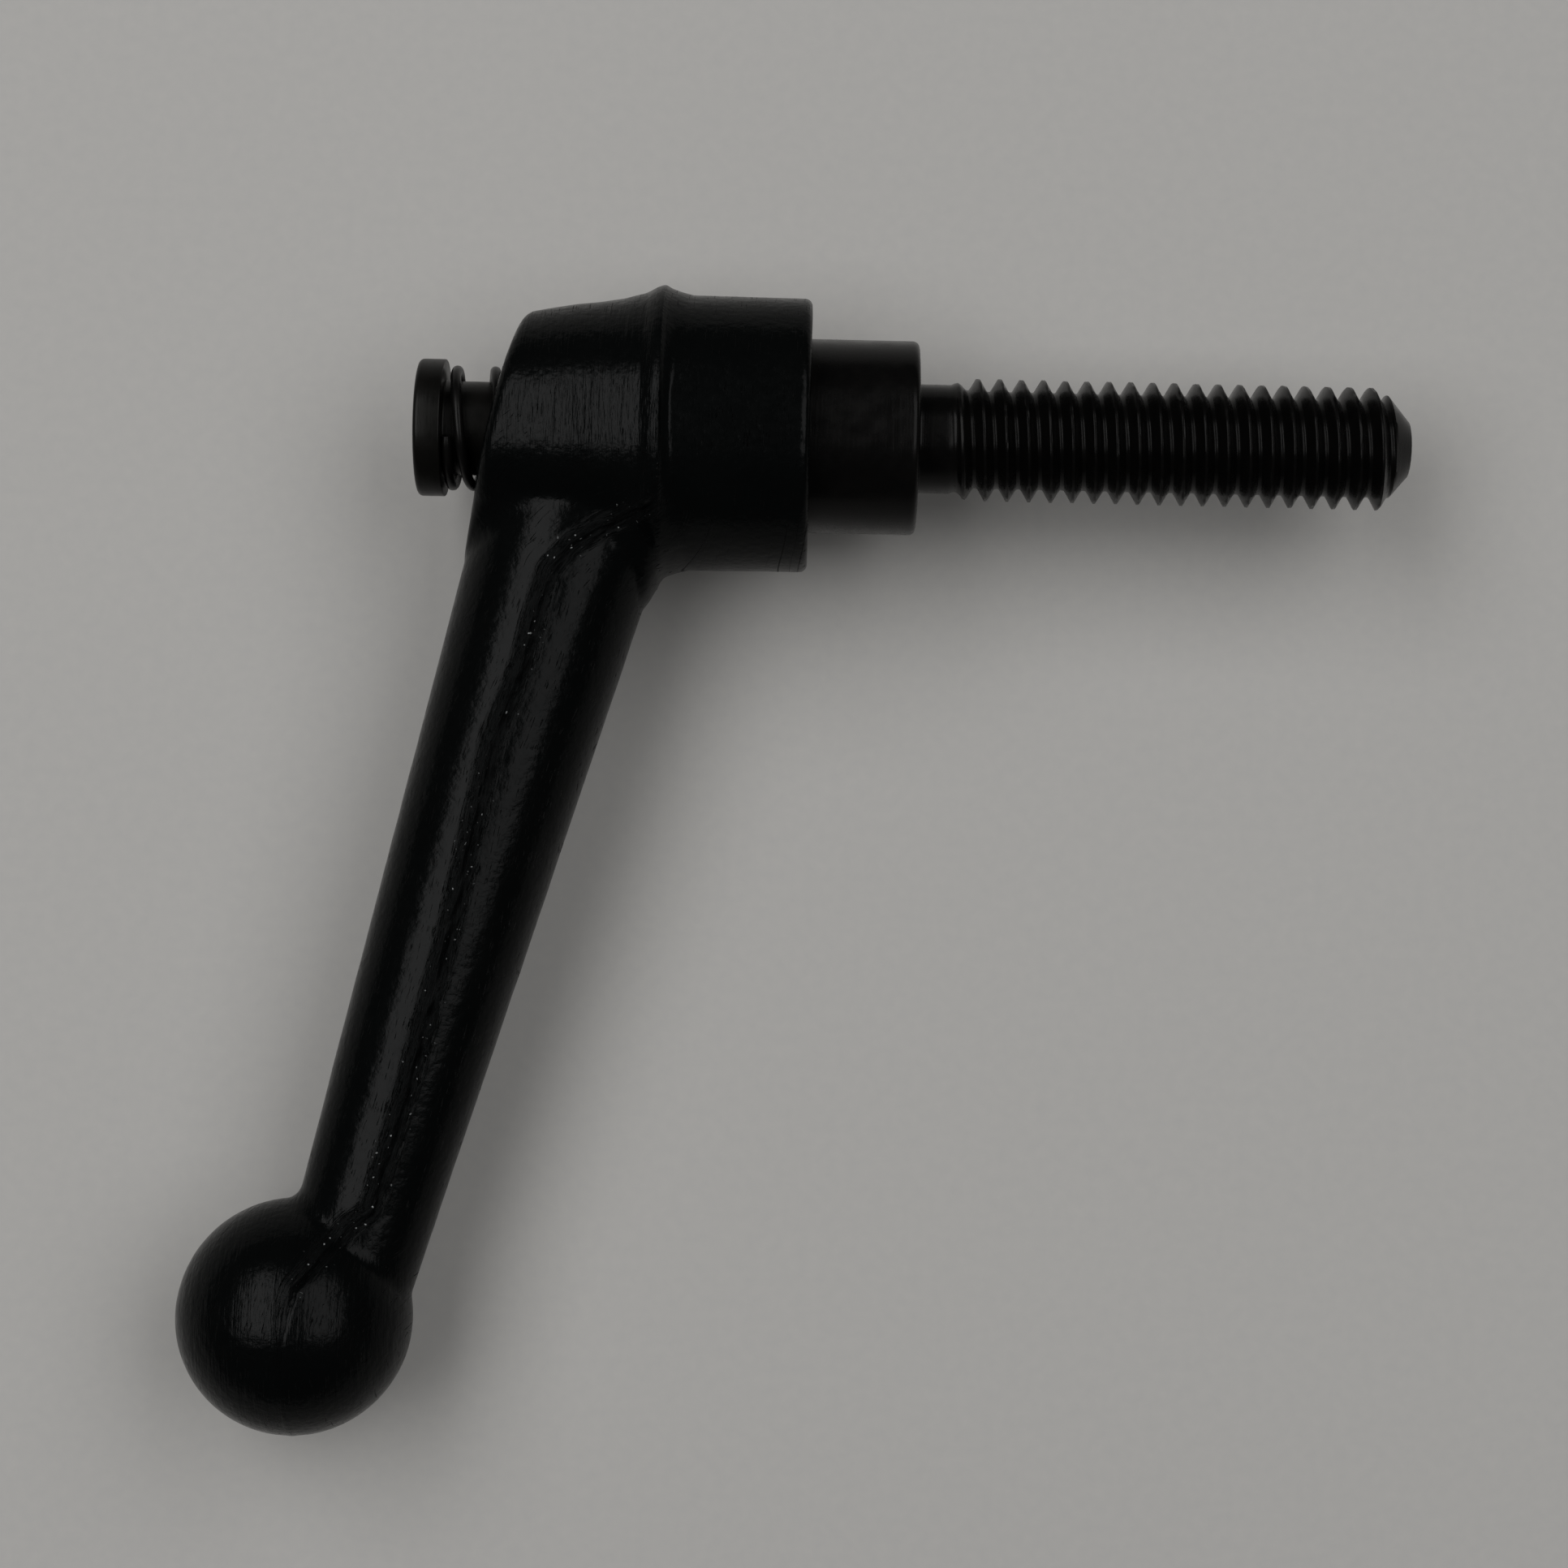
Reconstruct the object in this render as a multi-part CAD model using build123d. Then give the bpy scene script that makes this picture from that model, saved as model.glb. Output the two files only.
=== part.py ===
from build123d import *
from math import asin, ceil, cos, degrees, pi, radians, sin, tan
import os

# Adjustable clamping lever, in millimetres.
#
# The stud's axis is X. The origin is on that axis, in the collar's end face, which is the
# face that seats on the work. +X runs to the tip of the stud, and the lever's arm points
# to -Y. Places along the axis inside the lever are given as depths behind the seat.
# The part lies on its side, on the ridge of the hub and on the ball.

# ---- threaded stud -----------------------------------------------------------------------
stud_length = 31.75          # 1 1/4 in, from the seat to the tip
thread_major_d = 7.9375      # 5/16 in
thread_pitch = 25.4 / 18     # 18 turns to the inch
thread_root_d = 6.24
thread_half_angle = 30.0     # flank to the plane across the axis
crest_share_of_pitch = 1 / 8
pitch_line_drop = 0.6495     # major less pitch diameter, in pitches
neck_length = 1.8            # plain blank between the collar and the thread
tip_d = 3.6
tip_angle = 49.5             # slope of the pointed end to the axis

# ---- toothed collar, one piece with the stud --------------------------------------------
collar_d = 12.5
collar_edge = 0.5            # rounding of the seat's rim
collar_length = 17.5         # seat to the toothed end
tooth_count = 24
tooth_height = 0.6
tooth_half_angle = 30.0      # flank of the collar's teeth to their centre line
tooth_engagement = 2.4       # length of tooth that meshes
tooth_relief = 0.2           # extra length of the collar's teeth
tapped_depth = 9.0

# ---- retaining screw --------------------------------------------------------------------
screw_head_d = 8.85
screw_head_height = 1.73
screw_head_edge_width = 0.45
screw_head_edge_depth = 0.25
screw_shank_d = 6.05
screw_shank_length = 13.02   # under the head to the end of the collar
screw_thread_d = 4.73
screw_thread_length = 7.5
screw_point = 0.6            # chamfer at the end of its thread
socket_flats = 4.0
socket_depth = 2.6

# ---- return spring ----------------------------------------------------------------------
wire_d = 0.68
closed_turns = 0.8           # nearly flat turn at each end
closed_rise = 0.36
active_turns = 3.28
spring_start_angle = 110.0   # where the wire starts under the head, from +Y towards +Z
points_per_turn = 12

# ---- lever: one casting of hub, arm and ball --------------------------------------------
hub_mouth = 6.95             # depth of the hub's front face: the collar shows in front of it
hub_front_d = 17.5
hub_front_edge = 0.5
barrel_end = 14.6            # where the front barrel starts to flare
barrel_end_d = 17.74
ridge_at = 16.45             # parting ridge, the largest ring of the hub
ridge_d = 19.0
ridge_width = 0.2
taper_start = 18.3           # where the flare behind the ridge ends
taper_start_d = 17.56
taper_angle = 9.8            # rear of the hub, to the axis
rear_edge = 1.0              # rounding of the hub's rear rim
arm_root_at = 20.55          # depth at which the arm's centre line leaves the axis
arm_lean = 15.0              # centre line to the plane across the axis
arm_root_d = 12.65           # at the axis, were it to run that far
arm_taper = 2.11             # half angle
ball_d = 15.06
ball_reach = 57.32           # ball's centre to the axis
ball_set_back = 2.57         # ball's centre behind the arm's centre line
rear_step = 0.08             # rear face behind the arm's rear side
web_thickness = 2.95         # wall between the collar's end and the spring

# ---- clearances -------------------------------------------------------------------------
collar_play = 0.10           # radial, collar in hub
tooth_play = 0.08            # on each flank
web_play = 0.05              # axial, collar's end to the web
shank_play = 0.175           # radial, shank in web
tapped_play = 0.05           # radial, screw in collar
spring_end_play = 0.04       # axial, at each end of the spring
spring_shank_play = 0.335    # radial, spring on shank
head_play = 0.225            # radial, screw's head in the pocket that it enters on a lift

# ---- worked out from those --------------------------------------------------------------
crest_width = thread_pitch * crest_share_of_pitch
flank_run = (thread_major_d - thread_root_d) / 2 * tan(radians(thread_half_angle))
neck_d = thread_major_d - pitch_line_drop * thread_pitch
collar_teeth_length = tooth_engagement + tooth_relief
collar_root_r = collar_d / 2 - tooth_height
bore_r = collar_d / 2 + collar_play
web_front = collar_length + web_play
web_back = web_front + web_thickness
head_seat = collar_length + screw_shank_length
head_back = head_seat + screw_head_height
pocket_d = screw_head_d + 2 * head_play
spring_mean_d = screw_shank_d + wire_d + 2 * spring_shank_play
rear_slope = arm_lean - arm_taper
ball_at = arm_root_at + ball_reach * tan(radians(arm_lean)) + ball_set_back
rest_roll = degrees(asin((ridge_d - ball_d) / 2 / ball_reach))


def cylinder_at(diameter, start, end):
    """A cylinder on the X axis, between two values of X."""
    return Plane.YZ.offset(start) * extrude(Circle(diameter / 2), end - start)


def turned(points):
    """A body turned about the X axis from the points (x, radius) of its outline."""
    outline = Polyline(*points, close=True)
    return revolve(make_face(outline), Axis.X)


def front_edge(body):
    """The round edge of a turned body that lies furthest to +X."""
    return body.edges().filter_by(GeomType.CIRCLE).sort_by(Axis.X)[-1]


def ring_of_teeth(root_r, tip_r, half_angle, half_step, start, length):
    """Straight teeth round the X axis. Teeth and gaps are as wide as each other, less play, at mid height."""
    mid_r = collar_d / 2 - tooth_height / 2
    half_at_mid = mid_r * tan(pi / 2 / tooth_count) - tooth_play / 2
    inward = 1 if tip_r < root_r else -1
    slope = inward * tan(radians(half_angle))
    root_half = half_at_mid + (root_r - mid_r) * slope
    tip_half = half_at_mid + (tip_r - mid_r) * slope
    outline = Polyline(
        (root_r, -root_half),
        (tip_r, -tip_half),
        (tip_r, tip_half),
        (root_r, root_half),
        close=True,
    )
    one = Plane.YZ.offset(start) * extrude(make_face(outline), length)
    step = 360 / tooth_count
    first = step / 2 if half_step else 0
    return [Rotation(first + step * i, 0, 0) * one for i in range(tooth_count)]


# ---- toothed stud -----------------------------------------------------------------------
def thread_outline():
    """Points (x, radius) of the thread's crests and roots, from the neck to past the tip."""
    first_crest = neck_length + flank_run + crest_width
    crests = ceil((stud_length - first_crest) / thread_pitch) + 1
    points = []
    for i in range(crests):
        centre = first_crest + i * thread_pitch
        points.append((centre - crest_width / 2 - flank_run, thread_root_d / 2))
        points.append((centre - crest_width / 2, thread_major_d / 2))
        points.append((centre + crest_width / 2, thread_major_d / 2))
        points.append((centre + crest_width / 2 + flank_run, thread_root_d / 2))
    return points


def threaded_end():
    """The stud in front of the seat. Its thread is a row of grooves of the true section."""
    thread = thread_outline()
    blank_end = thread[-1][0]
    neck = [(0, 0), (0, neck_d / 2), (neck_length, neck_d / 2)]
    blank = turned(neck + thread + [(blank_end, 0)])
    cone_r = thread_major_d
    cone_back = stud_length - (cone_r - tip_d / 2) / tan(radians(tip_angle))
    pointed = turned([(0, 0), (0, cone_r), (cone_back, cone_r), (stud_length, tip_d / 2), (stud_length, 0)])
    return blank & pointed


def toothed_stud():
    teeth_end = -collar_length + collar_teeth_length
    collar = cylinder_at(collar_d, teeth_end, 0)
    collar = fillet(front_edge(collar), collar_edge)
    core = cylinder_at(2 * collar_root_r, -collar_length, teeth_end)
    teeth = ring_of_teeth(
        collar_root_r - collar_play,
        collar_d / 2,
        tooth_half_angle,
        False,
        -collar_length,
        collar_teeth_length,
    )
    tapped_d = screw_thread_d + 2 * tapped_play
    tapped_hole = cylinder_at(tapped_d, -collar_length, -collar_length + tapped_depth)
    return threaded_end() + collar + core + teeth - tapped_hole


# ---- retaining screw --------------------------------------------------------------------
def retaining_screw():
    head_r = screw_head_d / 2
    thread_end = -collar_length + screw_thread_length
    screw = turned([
        (-head_back, 0),
        (-head_back, head_r - screw_head_edge_width),
        (-head_back + screw_head_edge_depth, head_r),
        (-head_seat, head_r),
        (-head_seat, screw_shank_d / 2),
        (-collar_length, screw_shank_d / 2),
        (-collar_length, screw_thread_d / 2),
        (thread_end - screw_point, screw_thread_d / 2),
        (thread_end, screw_thread_d / 2 - screw_point),
        (thread_end, 0),
    ])
    corner_r = socket_flats / 2 / cos(pi / 6)
    socket = Plane.YZ.offset(-head_back) * extrude(RegularPolygon(corner_r, 6), socket_depth)
    return screw - socket


# ---- return spring ----------------------------------------------------------------------
def spring_point(turn):
    """The wire's centre after a number of turns from the head's end."""
    start = -head_seat + spring_end_play + wire_d / 2
    end = -web_back - spring_end_play - wire_d / 2
    pitch = (end - start - 2 * closed_rise) / active_turns
    opened = min(max(turn - closed_turns, 0), active_turns)
    closed = turn - opened
    angle = radians(spring_start_angle) + 2 * pi * turn
    x = start + opened * pitch + closed * closed_rise / closed_turns
    return x, spring_mean_d / 2 * cos(angle), spring_mean_d / 2 * sin(angle)


def return_spring():
    """A right-handed coil of round wire with a nearly flat turn at each end."""
    steps = round((active_turns + 2 * closed_turns) * points_per_turn)
    last_turn = active_turns + 2 * closed_turns
    path = Spline(*[spring_point(last_turn * i / steps) for i in range(steps + 1)])
    section = Plane(origin=path @ 0, z_dir=path % 0) * Circle(wire_d / 2)
    return sweep(section, path=path)


# ---- lever ------------------------------------------------------------------------------
def rear_face():
    """The hub's rear face leans with the rear side of the arm, and nearly runs on into it."""
    across = radians(rear_slope)
    reach = (arm_root_d / 2 * cos(radians(arm_taper)) + rear_step) / cos(across)
    return Plane(
        origin=(-arm_root_at - reach, 0, 0),
        x_dir=(0, 0, 1),
        z_dir=(-cos(across), sin(across), 0),
    )


def hub():
    blank_end = arm_root_at + arm_root_d
    blank_end_d = taper_start_d - 2 * (blank_end - taper_start) * tan(radians(taper_angle))
    blank = turned([
        (-hub_mouth, 0),
        (-hub_mouth, hub_front_d / 2),
        (-barrel_end, barrel_end_d / 2),
        (-ridge_at + ridge_width / 2, ridge_d / 2),
        (-ridge_at - ridge_width / 2, ridge_d / 2),
        (-taper_start, taper_start_d / 2),
        (-blank_end, blank_end_d / 2),
        (-blank_end, 0),
    ])
    blank = fillet(front_edge(blank), hub_front_edge)
    cut = split(blank, rear_face(), keep=Keep.BOTTOM)
    rear_rim = cut.faces().sort_by(Axis.X)[0].edges()
    return fillet(rear_rim, rear_edge)


def arm():
    """A round tapered bar that leans back from the plane across the axis."""
    lean = radians(arm_lean)
    length = ball_reach / cos(lean)
    end_r = arm_root_d / 2 - length * tan(radians(arm_taper))
    bar = Cone(arm_root_d / 2, end_r, length, align=(Align.CENTER, Align.CENTER, Align.MIN))
    along = Plane(origin=(-arm_root_at, 0, 0), x_dir=(0, 0, 1), z_dir=(-sin(lean), -cos(lean), 0))
    return along * bar


def lever():
    ball = Pos(-ball_at, -ball_reach, 0) * Sphere(ball_d / 2)
    casting = Rotation(rest_roll, 0, 0) * (hub() + arm() + ball)
    bore = cylinder_at(2 * bore_r, -web_front, 0)
    shank_hole = cylinder_at(screw_shank_d + 2 * shank_play, -web_back, -web_front)
    pocket = cylinder_at(pocket_d, -head_back, -web_back)
    casting = casting - bore - shank_hole - pocket
    teeth = ring_of_teeth(
        bore_r + collar_play,
        collar_root_r + collar_play,
        tooth_half_angle + 180 / tooth_count,
        True,
        -web_front - web_play,
        tooth_engagement + 2 * web_play,
    )
    return casting + teeth


os.makedirs("parts", exist_ok=True)
pieces = {
    "lever": lever(),
    "toothed_stud": toothed_stud(),
    "retaining_screw": retaining_screw(),
    "return_spring": return_spring(),
}
for name, shape in pieces.items():
    export_step(shape, f"parts/{name}.step")
    print(name, len(shape.solids()), "solid,", round(shape.volume, 1), "mm3")
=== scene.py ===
# %% [markdown]
# # An adjustable clamping lever
# The object is a black clamp handle, about 78 mm long. A zinc casting of hub, leaning arm and
# ball sits on a toothed steel collar, which is one piece with a threaded stud. A screw behind
# holds the casting, and a small spring under its head pushes the teeth together.
#
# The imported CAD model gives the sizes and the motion. Here each of its four pieces gets a
# finer shape and a finish. Lengths are thought of in millimetres and turned to metres last.

# %% Load the frame
import math

import bmesh
import bpy
import numpy as np
from mathutils import Matrix, Vector


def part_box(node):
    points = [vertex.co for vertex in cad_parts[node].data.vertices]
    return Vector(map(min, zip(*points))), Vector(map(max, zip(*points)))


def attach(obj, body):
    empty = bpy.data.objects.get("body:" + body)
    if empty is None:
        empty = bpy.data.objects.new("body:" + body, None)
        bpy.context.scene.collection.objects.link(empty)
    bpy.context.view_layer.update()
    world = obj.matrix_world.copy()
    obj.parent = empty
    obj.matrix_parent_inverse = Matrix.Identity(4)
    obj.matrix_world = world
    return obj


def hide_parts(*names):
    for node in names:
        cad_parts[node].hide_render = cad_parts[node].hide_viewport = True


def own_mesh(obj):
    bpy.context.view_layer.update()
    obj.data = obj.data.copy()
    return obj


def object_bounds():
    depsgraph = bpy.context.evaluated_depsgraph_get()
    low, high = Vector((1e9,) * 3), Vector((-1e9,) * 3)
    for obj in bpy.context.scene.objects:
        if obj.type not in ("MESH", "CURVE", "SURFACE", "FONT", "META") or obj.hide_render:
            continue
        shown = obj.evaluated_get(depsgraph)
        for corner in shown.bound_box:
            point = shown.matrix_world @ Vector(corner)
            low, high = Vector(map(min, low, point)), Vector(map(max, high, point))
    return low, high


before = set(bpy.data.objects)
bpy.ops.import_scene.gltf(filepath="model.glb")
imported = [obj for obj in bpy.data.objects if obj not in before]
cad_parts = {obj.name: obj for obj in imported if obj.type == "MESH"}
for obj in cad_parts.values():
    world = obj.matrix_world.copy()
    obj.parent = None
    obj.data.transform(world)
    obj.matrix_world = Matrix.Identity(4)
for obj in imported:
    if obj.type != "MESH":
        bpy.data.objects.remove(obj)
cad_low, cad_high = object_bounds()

MM = 0.001
print("CAD box in mm", [round(v / MM, 2) for v in (*cad_low, *cad_high)])

# %% [markdown]
# ## Sizes that lead
# The CAD nodes' boxes tell where each piece ends. The rest are sizes that a maker would put on
# the drawing: hole and tooth sizes, how far the arm leans, and where its ball is.


# %% Places from the frame
def span(node):
    """Lowest and highest X of a CAD node, in millimetres."""
    low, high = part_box(node)
    return low.x / MM, high.x / MM


HEAD_BACK, SCREW_END = span("retaining_screw")
COLLAR_END, STUD_TIP = span("toothed_stud")
COIL_START, COIL_END = span("return_spring")
HUB_MOUTH = -span("lever")[1]
FLOOR = cad_low.z / MM
RIDGE_R = -FLOOR
COLLAR_R = 6.25
BORE_R = 6.35
BALL_R = 7.53
BALL_REACH = 57.32
BALL_AT = 38.479
REST_ROLL = math.asin((RIDGE_R - BALL_R) / BALL_REACH)
print("hub mouth", round(HUB_MOUTH, 2), "mm behind the collar's front")
print("roll at rest", round(math.degrees(REST_ROLL), 2), "degrees")

# %% [markdown]
# ## One way to draw a casting
# A die casting has no drawn outline: hub, arm and ball flow into each other with small round
# corners. Joining meshes would leave those corners sharp. A distance field is kinder: each form
# says how far a point is from its skin and which way is out, and two forms are joined as if a
# ball of the corner's radius had been rolled along where they meet.


# %% Joining and cutting forms
def joined(one, two, radius):
    """Union of two forms, with a rolled corner. A form is (distances, outward directions)."""
    (fa, ga), (fb, gb) = one, two
    nearer = fa < fb
    f = np.where(nearer, fa, fb)
    g = np.where(nearer[:, None], ga, gb)
    c = np.clip(np.sum(ga * gb, 1), -0.999, 0.999)
    ka = ((radius - fa) - c * (radius - fb)) / (1 - c * c)
    kb = ((radius - fb) - c * (radius - fa)) / (1 - c * c)
    corner = (ka > 0) & (kb > 0)
    to_ball = ka[:, None] * ga + kb[:, None] * gb
    reach = np.maximum(np.linalg.norm(to_ball, axis=1), 1e-9)
    f = np.where(corner, radius - reach, f)
    return f, np.where(corner[:, None], to_ball / reach[:, None], g)


def cut(one, two, radius):
    """What two forms share, with a round edge."""
    f, g = joined((-one[0], -one[1]), (-two[0], -two[1]), radius)
    return -f, -g


def half_space(p, origin, outward):
    """All that lies behind a plane."""
    n = np.array(outward, float)
    return (p - np.array(origin, float)) @ n, np.broadcast_to(n, p.shape)


def sphere(p, centre, radius):
    """A ball with its centre at a point."""
    w = p - np.array(centre, float)
    r = np.maximum(np.linalg.norm(w, axis=1), 1e-6)
    return r - radius, w / r[:, None]


# %% [markdown]
# ## The hub's outline
# Seen from the side, the hub is a short barrel with draft both ways from a parting ridge, where
# the two halves of the die met. The metal swells up to that ridge on each side, so the outline
# is a list of depth and radius rather than two cones. In front of the ridge the swelling is
# narrower above and below than at the sides, so depth is stretched there.

# %% The hub's side
HUB_OUTLINE = [
    (-16.0, 8.71), (6.0, 8.80), (14.6, 8.87), (15.4, 9.07), (16.0, 9.27), (16.36, RIDGE_R - 0.01),
    (16.54, RIDGE_R - 0.01), (16.9, 9.36), (17.6, 8.96), (18.3, 8.78), (19.1, 8.55),
    (20.5, 8.32), (22.0, 8.15), (23.5, 7.90), (25.0, 7.62), (36.0, 5.72),
]
RIDGE_AT = 16.36
NARROW_FLARE = 0.36
OUTLINE_STEPS = 1201


def smoothed(values, half):
    """A running mean that reaches this many places each way, most weight in the middle."""
    kernel = np.exp(-np.linspace(-2, 2, 2 * half + 1) ** 2)
    return np.convolve(np.pad(values, half, mode="edge"), kernel / kernel.sum(), mode="valid")


depths = np.linspace(HUB_OUTLINE[0][0], HUB_OUTLINE[-1][0], OUTLINE_STEPS)
radii = smoothed(np.interp(depths, *zip(*HUB_OUTLINE)), 6)
radius_slope = np.gradient(radii, depths)
print("hub outline", len(HUB_OUTLINE), "points, widest radius", round(radii.max(), 2))


def hub_side(p):
    """The hub's round side, with its ridge, running on past both end faces."""
    rho = np.maximum(np.hypot(p[:, 1], p[:, 2]), 1e-6)
    swell_width = NARROW_FLARE + (1 - NARROW_FLARE) * (p[:, 1] / rho) ** 2
    ahead = np.maximum(RIDGE_AT + p[:, 0], 0)
    depth = np.where(ahead > 0, RIDGE_AT - ahead / swell_width, -p[:, 0])
    slope = -np.interp(depth, depths, radius_slope) / np.where(ahead > 0, swell_width, 1)
    steep = np.sqrt(1 + slope * slope)
    out = np.stack([-slope, p[:, 1] / rho, p[:, 2] / rho], 1) / steep[:, None]
    return (rho - np.interp(depth, depths, radii)) / steep, out


# %% [markdown]
# ## The arm
# The arm leans back from the stud and tapers towards the ball, so that the casting leaves its
# die. It is a cone, cut flat at both ends: one end is hidden in the hub and one in the ball.

# %% The arm as a field
LEAN = math.radians(15)
TAPER = math.radians(2.11)
ARM_ROOT = (-20.55, 0, 0)
ARM_ROOT_R = 6.325
ARM_LENGTH = BALL_REACH / math.cos(LEAN)
ARM_WAY = np.array([-math.sin(LEAN), -math.cos(LEAN), 0])
SHARP = 0.01
print("arm", round(ARM_LENGTH, 2), "mm long, radius", ARM_ROOT_R, "at the hub")


def arm(p):
    """The leaning, tapered arm with flat ends."""
    q = p - np.array(ARM_ROOT)
    s = q @ ARM_WAY
    across = q - s[:, None] * ARM_WAY
    rho = np.maximum(np.linalg.norm(across, axis=1), 1e-6)
    f = (rho - ARM_ROOT_R + s * math.tan(TAPER)) * math.cos(TAPER)
    g = across / rho[:, None] * math.cos(TAPER) + ARM_WAY * math.sin(TAPER)
    bar = cut((f, g), half_space(p, ARM_ROOT, -ARM_WAY), SHARP)
    return cut(bar, half_space(p, ARM_ROOT + ARM_LENGTH * ARM_WAY, ARM_WAY), SHARP)


# %% [markdown]
# ## The whole casting
# The rear face leans with the arm's rear side and nearly runs on into it. It cuts hub and arm
# together, before the ball is added, because the ball stands out behind it. A tip of flash is
# left under the arm's root. The ball's mean radius is a little under its full size, because its
# seam and its uneven skin stand out from it.

# %% Joining hub, arm and ball
REAR_STEP = 0.08
ROOT_FILLET = 2.0
BALL_FILLET = 1.2
REAR_EDGE = 1.0
MOUTH_EDGE = 0.5
FLASH_TIP = (-17.55, -10.95, -0.6)
FLASH_TIP_R = 0.4
FLASH_FILLET = 0.5
BALL_MEAN_R = 7.50
REAR_LEAN = LEAN - TAPER
REAR_AT = ARM_ROOT[0] - (ARM_ROOT_R * math.cos(TAPER) + REAR_STEP) / math.cos(REAR_LEAN)
print("rear face", round(-REAR_AT, 2), "mm behind the collar's front")


def casting(p):
    """Distances from the casting's skin, and the outward directions there."""
    body = joined(hub_side(p), arm(p), ROOT_FILLET)
    body = joined(body, sphere(p, FLASH_TIP, FLASH_TIP_R), FLASH_FILLET)
    rear = half_space(p, (REAR_AT, 0, 0), (-math.cos(REAR_LEAN), math.sin(REAR_LEAN), 0))
    body = cut(body, rear, REAR_EDGE)
    body = cut(body, half_space(p, (-HUB_MOUTH, 0, 0), (1, 0, 0)), MOUTH_EDGE)
    return joined(body, sphere(p, (-BALL_AT, -BALL_REACH, 0), BALL_MEAN_R), BALL_FILLET)


# %% [markdown]
# ## The parting line
# Where the die halves met, the casting keeps a line: a ring on the hub, which swings down to
# the middle of the arm, runs along it and goes on round the ball. Its course is a list of
# points, X for each Y, and it is the same above and below.

# %% Course of the parting line
PARTING = np.array([
    (-16.45, 12.0), (-16.45, -4.6), (-16.6, -5.7), (-17.9, -6.25), (-19.9, -7.1),
    (-21.7, -8.4), (-22.95, -9.95), (-23.65, -12.4), (-24.5, -16.0), (-26.15, -20.6),
    (-28.6, -32.6), (-31.1, -43.0), (-33.1, -50.3), (-34.6, -51.5), (-36.2, -53.5),
    (-37.4, -55.0), (-38.1, -58.3), (-38.4, -70.0),
])


def from_parting(p):
    """Distance across the line (+ is towards the stud) and along it, in millimetres."""
    best = np.full(len(p), 1e9)
    across = np.zeros(len(p))
    along = np.zeros(len(p))
    run = 0.0
    for a, b in zip(PARTING[:-1], PARTING[1:]):
        way = b - a
        length = np.hypot(*way)
        way = way / length
        t = np.clip((p[:, :2] - a) @ way, 0, length)
        off = p[:, :2] - a - t[:, None] * way
        d = np.hypot(off[:, 0], off[:, 1])
        closer = d < best
        side = np.sign(way[0] * off[:, 1] - way[1] * off[:, 0] + 1e-12)
        best = np.where(closer, d, best)
        across = np.where(closer, d * side, across)
        along = np.where(closer, run + t, along)
        run += length
    return across, along


# %% [markdown]
# ## Uneven skin
# Cast skin is never quite even. Smooth random values on a lattice, drawn once from a fixed
# seed, give it slow swells of a hundredth of a millimetre. The same values roughen the line.

# %% Smooth random values
LATTICE_SIZE = 32
LATTICE = np.random.default_rng(7).random((LATTICE_SIZE,) * 3) * 2 - 1
print("lattice of", LATTICE.size, "random values")


def swell(p, size):
    """Smooth random values from -1 to 1 that change over about this size."""
    q = p / size
    base = np.floor(q).astype(int)
    t = q - base
    t = t * t * (3 - 2 * t)
    total = np.zeros(len(p))
    for i in range(8):
        corner = np.array([i & 1, i >> 1 & 1, i >> 2 & 1])
        share = np.prod(np.where(corner, t, 1 - t), axis=1)
        x, y, z = ((base + corner) % LATTICE_SIZE).T
        total += LATTICE[x, y, z] * share
    return total


def hump(x, width):
    """One at zero, falling off smoothly over about this width."""
    return np.exp(-(x / width) ** 2)


def fade(x, none, full):
    """Rises from 0 where x is none to 1 where x is full, and stays there."""
    return np.clip((x - none) / (full - none), 0, 1)


# %% [markdown]
# ## The trimmed line in detail
# Flash was broken off and filed by hand. What is left is a shallow groove that wanders, a low
# lip on its rear side, a torn band with pits along the arm, and a step down where the arm meets
# the hub. The far end of the ball keeps a plain raised seam. Each is a few hundredths to a few
# tenths of a millimetre, added on the skin rather than cut as forms of their own.

# %% Depths of the trimmed line
GROOVE_DEPTH, GROOVE_WEAR, GROOVE_WIDTH = 0.16, 0.14, 0.17
LIP_HEIGHT, LIP_AT, LIP_WIDTH = 0.09, -0.26, 0.12
ROOT_STEP = 0.16
TORN_DEPTH, TORN_UNEVEN = 0.07, 0.14
PIT_DEPTH, PIT_BAND = 0.14, 0.8
SEAM_HEIGHT, SEAM_WIDTH = 0.07, 0.2
LEFT_ON_BALL = 0.15
HALVES_APART = 9


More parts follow.
